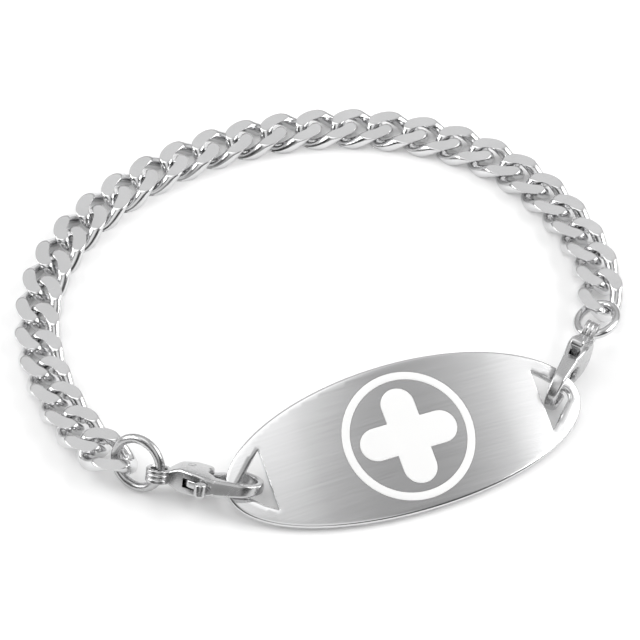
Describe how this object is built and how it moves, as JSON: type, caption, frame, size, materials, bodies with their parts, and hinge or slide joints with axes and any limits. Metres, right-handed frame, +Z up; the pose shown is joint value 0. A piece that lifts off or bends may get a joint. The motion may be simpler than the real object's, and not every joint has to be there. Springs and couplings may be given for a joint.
{
  "type": "medical alert bracelet",
  "caption": "Medical alert bracelet lying closed: a curved oval plate with an enamel emblem, held at both ends by lobster clasps on a flat curb chain.",
  "frame": {"origin": "middle of the bracelet's footprint on the table it lies on", "axes": "+X along the loop's longest extent, towards the right clasp; +Y from the plate towards the chain's far side; +Z up"},
  "size_m": [0.0766, 0.0702, 0.0083],
  "materials": {
    "plate_steel": "satin face, polished rim",
    "white_enamel": "smooth white enamel, slightly glossy",
    "chain_steel": "polished, filed flat above and below",
    "ring_steel": "polished",
    "clasp_steel": "polished"
  },
  "bodies": {
    "bracelet": {"id_plate": "plate_steel", "enamel_emblem": "white_enamel", "jump_ring": "ring_steel", "clasp_left_body": "clasp_steel", "clasp_left_pin": "clasp_steel", "clasp_right_body": "clasp_steel", "clasp_right_pin": "clasp_steel", "link_01": "chain_steel", "link_02": "chain_steel", "link_03": "chain_steel", "link_04": "chain_steel", "link_05": "chain_steel", "link_06": "chain_steel", "link_07": "chain_steel", "link_08": "chain_steel", "link_09": "chain_steel", "link_10": "chain_steel", "link_11": "chain_steel", "link_12": "chain_steel", "link_13": "chain_steel", "link_14": "chain_steel", "link_15": "chain_steel", "link_16": "chain_steel", "link_17": "chain_steel", "link_18": "chain_steel", "link_19": "chain_steel", "link_20": "chain_steel", "link_21": "chain_steel", "link_22": "chain_steel", "link_23": "chain_steel", "link_24": "chain_steel", "link_25": "chain_steel", "link_26": "chain_steel", "link_27": "chain_steel", "link_28": "chain_steel", "link_29": "chain_steel", "link_30": "chain_steel"},
    "left_lever": {"clasp_left_lever": "clasp_steel"},
    "right_lever": {"clasp_right_lever": "clasp_steel"}
  },
  "joints": [
    {"name": "left_lever_hinge", "type": "hinge", "parent": "bracelet", "child": "left_lever", "pos_m": [-0.01543, -0.02868, 0.00264], "axis": [-0.1103, -0.5287, -0.8416], "range_deg": [0, 9], "stiffness_Nm_per_rad": 0.01},
    {"name": "right_lever_hinge", "type": "hinge", "parent": "bracelet", "child": "right_lever", "pos_m": [0.0319, -0.00953, 0.00254], "axis": [-0.8896, 0.4412, 0.1184], "range_deg": [0, 9], "stiffness_Nm_per_rad": 0.01}
  ]
}
